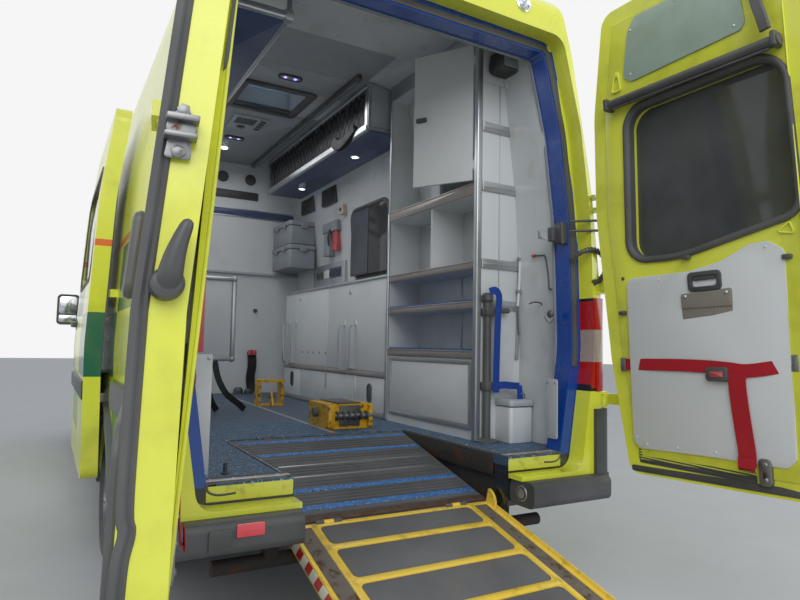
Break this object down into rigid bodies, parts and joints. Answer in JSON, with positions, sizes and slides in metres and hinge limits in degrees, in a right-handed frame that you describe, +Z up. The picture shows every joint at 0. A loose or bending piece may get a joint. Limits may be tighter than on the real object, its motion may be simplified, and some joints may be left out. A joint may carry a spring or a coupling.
{
  "type": "ambulance",
  "caption": "High-roof panel-van ambulance with open rear doors, a slid-back side door, a folding loading ramp and a fitted load space.",
  "frame": {"origin": "on the road, in the middle of the footprint of the vehicle and its laid-down ramp", "axes": "+X to the vehicle's right, +Y forward, +Z up"},
  "size_m": [2.43, 8.5544, 3.1099],
  "materials": {
    "body_paint": "fluorescent yellow paint, gloss, with blue frame and green and blue blocks",
    "roof_moulding": "glass-fibre moulding, gloss",
    "dark_plastic": "grained",
    "grey_plastic": "grained",
    "liner_plastic": "rough",
    "lamp_glass": "clear, gloss",
    "dark_glass": "dark tinted",
    "lamp_red": "gloss",
    "frame_steel": "matt, dirty",
    "cast_parts": "rough",
    "rim_steel": "silver, satin",
    "tyre_rubber": "matt",
    "floor_covering": "flecked safety floor",
    "cab_trim": "grained",
    "ramp_grey": "gritted",
    "ramp_yellow": "worn gloss",
    "white_panel": "laminate, satin",
    "locker_aluminium": "satin",
    "hatch_plastic": "satin",
    "winch_yellow": "worn",
    "seat_fabric": "woven",
    "beacon_blue": "gloss"
  },
  "bodies": {
    "van": {"side_left": "body_paint", "side_right": "body_paint", "roof": "roof_moulding", "rear_frame": "body_paint", "cab_shell": "body_paint", "front_bumper": "dark_plastic", "headlamps": "lamp_glass", "fixed_glass": "dark_glass", "sliding_door": "body_paint", "chassis": "frame_steel", "axles": "cast_parts", "engine_block": "cast_parts", "wheel_housings": "liner_plastic", "load_floor": "floor_covering", "floor_cab": "cab_trim", "bulkhead": "white_panel", "low_cabinets": "white_panel", "tall_unit": "white_panel", "overhead_lockers": "locker_aluminium", "roof_hatch": "hatch_plastic", "winch": "winch_yellow", "cab_seats": "seat_fabric", "dashboard": "cab_trim", "rear_bumper": "dark_plastic", "tail_lamps": "lamp_red", "side_mouldings": "grey_plastic", "light_bar": "beacon_blue"},
    "cab_door_right": {"cab_door_right": "body_paint", "cab_glass_right": "dark_glass", "mirror_right": "dark_plastic"},
    "cab_door_left": {"cab_door_left": "body_paint", "cab_glass_left": "dark_glass", "mirror_left": "dark_plastic"},
    "rear_door_right": {"rear_door_right": "body_paint", "rear_glass_right": "dark_glass"},
    "rear_door_left": {"rear_door_left": "body_paint", "rear_glass_left": "dark_glass"},
    "bonnet": {"bonnet": "body_paint"},
    "unit_door": {"unit_door": "white_panel"},
    "ramp_board": {"ramp_board": "ramp_grey"},
    "ramp_outer": {"ramp_outer": "ramp_yellow"},
    "ramp_tip": {"ramp_tip": "ramp_yellow"},
    "knuckle_right": {"knuckle_right": "cast_parts"},
    "knuckle_left": {"knuckle_left": "cast_parts"},
    "wheel_front_right": {"rim_front_right": "rim_steel", "tyre_front_right": "tyre_rubber"},
    "wheel_front_left": {"rim_front_left": "rim_steel", "tyre_front_left": "tyre_rubber"},
    "wheel_rear_right": {"rim_rear_right": "rim_steel", "tyre_rear_right": "tyre_rubber"},
    "wheel_rear_left": {"rim_rear_left": "rim_steel", "tyre_rear_left": "tyre_rubber"}
  },
  "joints": [
    {"name": "rear_door_right_hinge", "type": "hinge", "parent": "van", "child": "rear_door_right", "pos_m": [1.02, -2.64242, 0.7], "axis": [-0.0227, 0, 0.9997], "range_deg": [-94, 84]},
    {"name": "cab_door_right_hinge", "type": "hinge", "parent": "van", "child": "cab_door_right", "pos_m": [1.008, 2.66158, 1], "axis": [0, 0, 1], "range_deg": [0, 68]},
    {"name": "rear_door_left_hinge", "type": "hinge", "parent": "van", "child": "rear_door_left", "pos_m": [-1.02, -2.64242, 0.7], "axis": [-0.0227, 0, -0.9997], "range_deg": [-98, 80]},
    {"name": "cab_door_left_hinge", "type": "hinge", "parent": "van", "child": "cab_door_left", "pos_m": [-1.008, 2.66158, 1], "axis": [0, 0, -1], "range_deg": [0, 68]},
    {"name": "bonnet_hinge", "type": "hinge", "parent": "van", "child": "bonnet", "pos_m": [0, 3.47858, 1.366], "axis": [1, 0, 0], "range_deg": [0, 55]},
    {"name": "unit_door_hinge", "type": "hinge", "parent": "van", "child": "unit_door", "pos_m": [0.622, -2.12742, 2], "axis": [0, 0, 1], "range_deg": [-30.5, 69.5]},
    {"name": "ramp_floor_hinge", "type": "hinge", "parent": "van", "child": "ramp_board", "pos_m": [0, -1.65242, 0.7], "axis": [1, 0, 0], "range_deg": [-14.7, 0]},
    {"name": "ramp_outer_hinge", "type": "hinge", "parent": "ramp_board", "child": "ramp_outer", "pos_m": [0, -2.45525, 0.48938], "axis": [1, 0, 0], "range_deg": [-90, 0]},
    {"name": "ramp_tip_hinge", "type": "hinge", "parent": "ramp_outer", "child": "ramp_tip", "pos_m": [0, -3.40515, 0.24431], "axis": [1, 0, 0], "range_deg": [-180, 0]},
    {"name": "steering_right", "type": "hinge", "parent": "van", "child": "knuckle_right", "pos_m": [0.846, 3.29258, 0.35], "axis": [0, 0, 1], "range_deg": [-35, 35]},
    {"name": "steering_left", "type": "hinge", "parent": "van", "child": "knuckle_left", "pos_m": [-0.846, 3.29258, 0.35], "axis": [0, 0, 1], "range_deg": [-35, 35]},
    {"name": "wheel_front_right_spin", "type": "hinge", "parent": "knuckle_right", "child": "wheel_front_right", "pos_m": [0.868, 3.29258, 0.35], "axis": [1, 0, 0], "continuous": true},
    {"name": "wheel_rear_right_spin", "type": "hinge", "parent": "van", "child": "wheel_rear_right", "pos_m": [0.868, -1.03242, 0.35], "axis": [1, 0, 0], "continuous": true},
    {"name": "wheel_front_left_spin", "type": "hinge", "parent": "knuckle_left", "child": "wheel_front_left", "pos_m": [-0.868, 3.29258, 0.35], "axis": [1, 0, 0], "continuous": true},
    {"name": "wheel_rear_left_spin", "type": "hinge", "parent": "van", "child": "wheel_rear_left", "pos_m": [-0.868, -1.03242, 0.35], "axis": [1, 0, 0], "continuous": true}
  ],
  "couplings": [
    {"joint": "steering_left", "follows": "steering_right", "ratio": 1}
  ]
}
